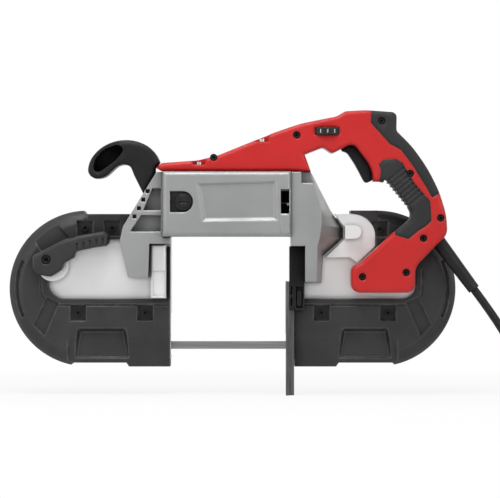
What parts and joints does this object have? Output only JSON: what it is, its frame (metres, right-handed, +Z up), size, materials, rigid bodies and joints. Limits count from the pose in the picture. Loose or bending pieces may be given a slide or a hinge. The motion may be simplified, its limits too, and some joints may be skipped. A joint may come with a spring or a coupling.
{
  "type": "portable band saw",
  "caption": "Corded portable band saw: two covered wheels carry a twisted blade across an open throat, with a motor housing above, a looped rear handle and a hooked front handle.",
  "frame": {"origin": "middle of the saw's length and depth, on the plane under the work shoe", "axes": "+X along the tool from the tension lever's end to the rear handle, +Y from the motor's side to the open wheel side, +Z up"},
  "size_m": [0.7105, 0.1615, 0.3115],
  "materials": {
    "grey_casting": "satin grey paint on a casting",
    "bare_casting": "bare machined casting",
    "dark_casting": "dark coated casting",
    "bumper_rubber": "matt moulded rubber",
    "dark_steel": "black oxide screws",
    "steel": "turned steel",
    "wheel_alloy": "cast and turned alloy",
    "wheel_tyre": "smooth rubber",
    "blade_steel": "blued spring steel",
    "iron": "laminated iron",
    "carbon": "carbon",
    "shoe_steel": "zinc-plated steel",
    "grip_rubber": "soft overmould",
    "red_plastic": "fine-grained red plastic",
    "black_plastic": "fine-grained black plastic",
    "bronze": "sintered bronze",
    "cord_rubber": "matt rubber",
    "plug_brass": "nickelled brass"
  },
  "bodies": {
    "saw": {"main_frame": "bare_casting", "motor_housing": "grey_casting", "front_leg": "grey_casting", "gear_case": "grey_casting", "gear_cover": "bare_casting", "left_guide_post": "bare_casting", "left_guide_clamp": "dark_casting", "lever_collar": "bare_casting", "left_bumper": "bumper_rubber", "right_bumper": "bumper_rubber", "left_bumper_screws": "dark_steel", "right_bumper_screws": "dark_steel", "handle_screws": "dark_steel", "handle_top_screws": "steel", "shoe_screw": "dark_steel", "blade": "blade_steel", "stator": "iron", "motor_bearings": "steel", "brush_cap": "black_plastic", "carbon_brushes": "carbon", "left_guide": "dark_casting", "right_guide": "dark_casting", "left_roller_pins": "steel", "right_roller_pins": "steel", "shoe_bracket": "dark_casting", "grip_spine": "grip_rubber", "grip_palm": "grip_rubber", "handle_front_half": "red_plastic", "handle_back_half": "red_plastic", "front_handle": "black_plastic", "drive_bearing": "steel", "strain_relief": "cord_rubber", "power_cord": "cord_rubber", "cord_coil": "cord_rubber", "plug": "cord_rubber", "plug_prongs": "plug_brass", "cord_tie": "black_plastic"},
    "motor_armature": {"armature": "steel", "cooling_fan": "black_plastic"},
    "drive": {"drive_wheel": "wheel_alloy", "drive_tyre": "wheel_tyre", "drive_shaft": "steel"},
    "carrier": {"tension_carrier": "steel", "idler_nut": "steel"},
    "idler": {"idler_wheel": "wheel_alloy", "idler_tyre": "wheel_tyre", "idler_bush": "bronze"},
    "lever": {"tension_lever": "black_plastic", "lever_screw": "dark_steel", "tension_cam": "steel"},
    "trigger": {"trigger": "black_plastic"},
    "dial": {"speed_dial": "black_plastic"},
    "shoe": {"work_shoe": "shoe_steel"},
    "roller_a": {"left_upper_roller": "steel"},
    "roller_b": {"left_lower_roller": "steel"},
    "roller_c": {"right_upper_roller": "steel"},
    "roller_d": {"right_lower_roller": "steel"}
  },
  "joints": [
    {"name": "armature_spin", "type": "hinge", "parent": "saw", "child": "motor_armature", "pos_m": [0, -0.019, 0.2095], "axis": [1, 0, 0], "continuous": true},
    {"name": "drive_spin", "type": "hinge", "parent": "saw", "child": "drive", "pos_m": [0.16, 0.035, 0.117], "axis": [0, -1, 0], "continuous": true},
    {"name": "lever_turn", "type": "hinge", "parent": "saw", "child": "lever", "pos_m": [-0.2035, 0, 0.149], "axis": [0, -1, 0], "range_deg": [0, 180]},
    {"name": "carrier_slide", "type": "slide", "parent": "saw", "child": "carrier", "axis": [1, 0, 0], "range_m": [0, 0.008]},
    {"name": "idler_spin", "type": "hinge", "parent": "carrier", "child": "idler", "pos_m": [-0.16, 0.035, 0.117], "axis": [0, -1, 0], "continuous": true},
    {"name": "trigger_pull", "type": "slide", "parent": "saw", "child": "trigger", "axis": [0.8, 0, 0.6], "range_m": [0, 0.006], "stiffness_N_per_m": 900, "springref_m": -0.003},
    {"name": "dial_turn", "type": "hinge", "parent": "saw", "child": "dial", "pos_m": [0.10308, -0.0255, 0.28887], "axis": [0, 0, 1], "range_deg": [0, 270]},
    {"name": "shoe_slide", "type": "slide", "parent": "saw", "child": "shoe", "axis": [0, 0, 1], "range_m": [0, 0.038]},
    {"name": "left_upper_spin", "type": "hinge", "parent": "saw", "child": "roller_a", "pos_m": [-0.0808, 0.03942, 0.05817], "axis": [0, -0.7071, 0.7071], "continuous": true},
    {"name": "left_lower_spin", "type": "hinge", "parent": "saw", "child": "roller_b", "pos_m": [-0.0808, 0.03058, 0.04933], "axis": [0, 0.7071, -0.7071], "continuous": true},
    {"name": "right_upper_spin", "type": "hinge", "parent": "saw", "child": "roller_c", "pos_m": [0.0768, 0.03942, 0.05817], "axis": [0, -0.7071, 0.7071], "continuous": true},
    {"name": "right_lower_spin", "type": "hinge", "parent": "saw", "child": "roller_d", "pos_m": [0.0768, 0.03058, 0.04933], "axis": [0, 0.7071, -0.7071], "continuous": true}
  ],
  "couplings": [
    {"joint": "drive_spin", "follows": "armature_spin", "ratio": 0.02},
    {"joint": "idler_spin", "follows": "armature_spin", "ratio": 0.02},
    {"joint": "carrier_slide", "follows": "lever_turn", "m_per_rad": 0.0025465},
    {"joint": "left_upper_spin", "follows": "armature_spin", "ratio": 0.22891},
    {"joint": "left_lower_spin", "follows": "armature_spin", "ratio": 0.22891},
    {"joint": "right_upper_spin", "follows": "armature_spin", "ratio": 0.22891},
    {"joint": "right_lower_spin", "follows": "armature_spin", "ratio": 0.22891}
  ]
}
